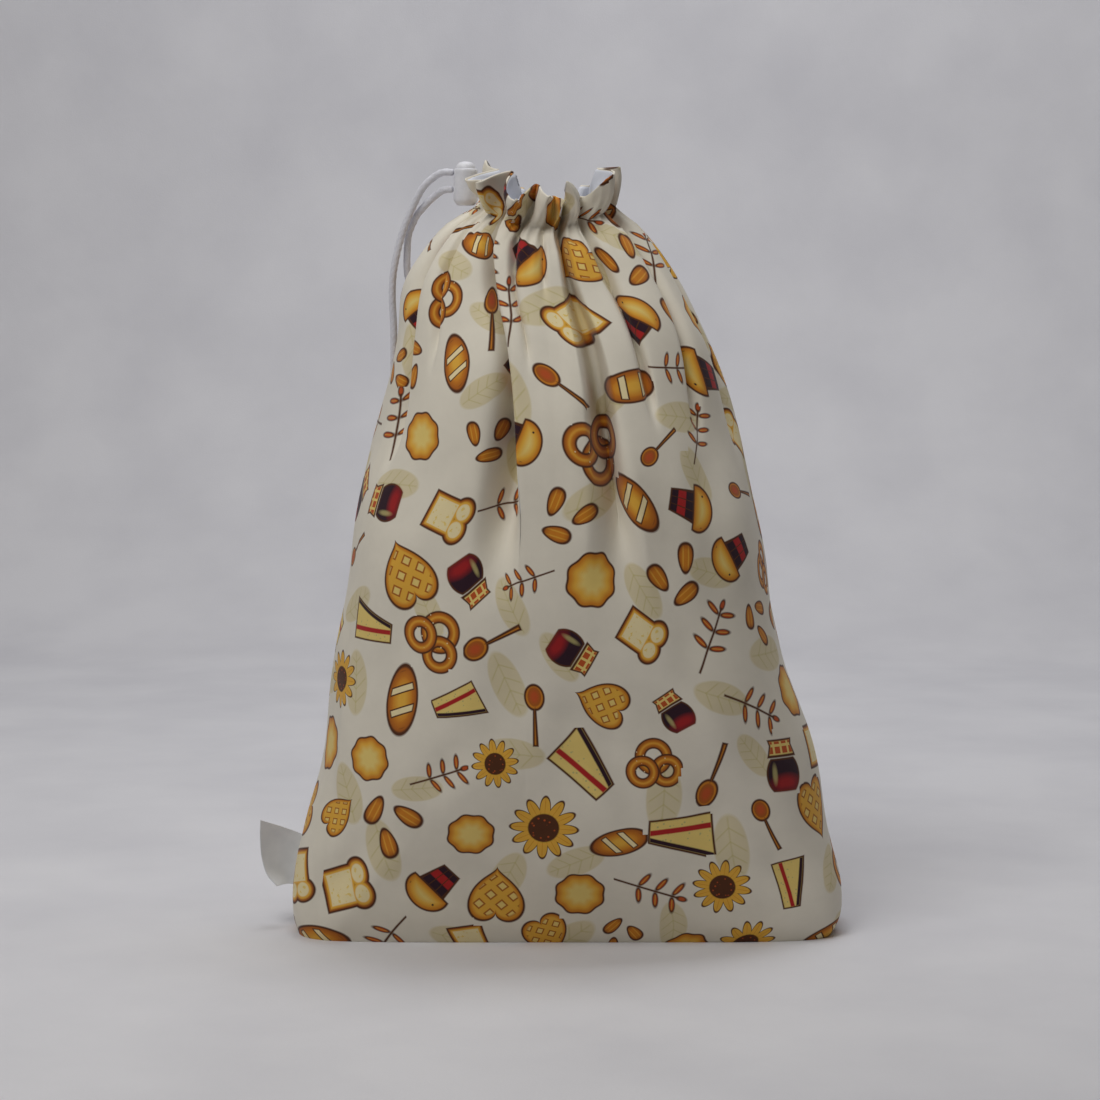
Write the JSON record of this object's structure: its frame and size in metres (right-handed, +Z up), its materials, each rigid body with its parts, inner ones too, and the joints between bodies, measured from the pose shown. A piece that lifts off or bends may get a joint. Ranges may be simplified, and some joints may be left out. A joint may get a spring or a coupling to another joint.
{
  "type": "drawstring bread bag",
  "caption": "Filled fabric bread bag standing on a flat base, gathered at the mouth by a drawcord with a sprung cord lock; printed outside, white inside.",
  "frame": {"origin": "on the floor, under the middle of the bag's flat base", "axes": "+X to the right seen from the front, +Y to the back, +Z up towards the gathered mouth"},
  "size_m": [0.2812, 0.1589, 0.3701],
  "materials": {
    "printed_cotton": "plain-weave cotton, cream with a scattered bakery print",
    "white_lining": "smooth white lining",
    "satin_ribbon": "bare satin ribbon",
    "braided_cord": "white braided cord",
    "moulded_plastic": "white moulded plastic"
  },
  "bodies": {
    "bag": {"outer_bag": "printed_cotton", "lining": "white_lining", "label_tab": "satin_ribbon", "cord_end_front": "braided_cord", "cord_end_rear": "braided_cord", "cord_knot": "braided_cord", "lock_barrel": "moulded_plastic"},
    "button": {"lock_button": "moulded_plastic"}
  },
  "joints": [
    {"name": "button_press", "type": "slide", "parent": "bag", "child": "button", "axis": [0, 0, -1], "range_m": [0, 0.0025], "stiffness_N_per_m": 300}
  ]
}
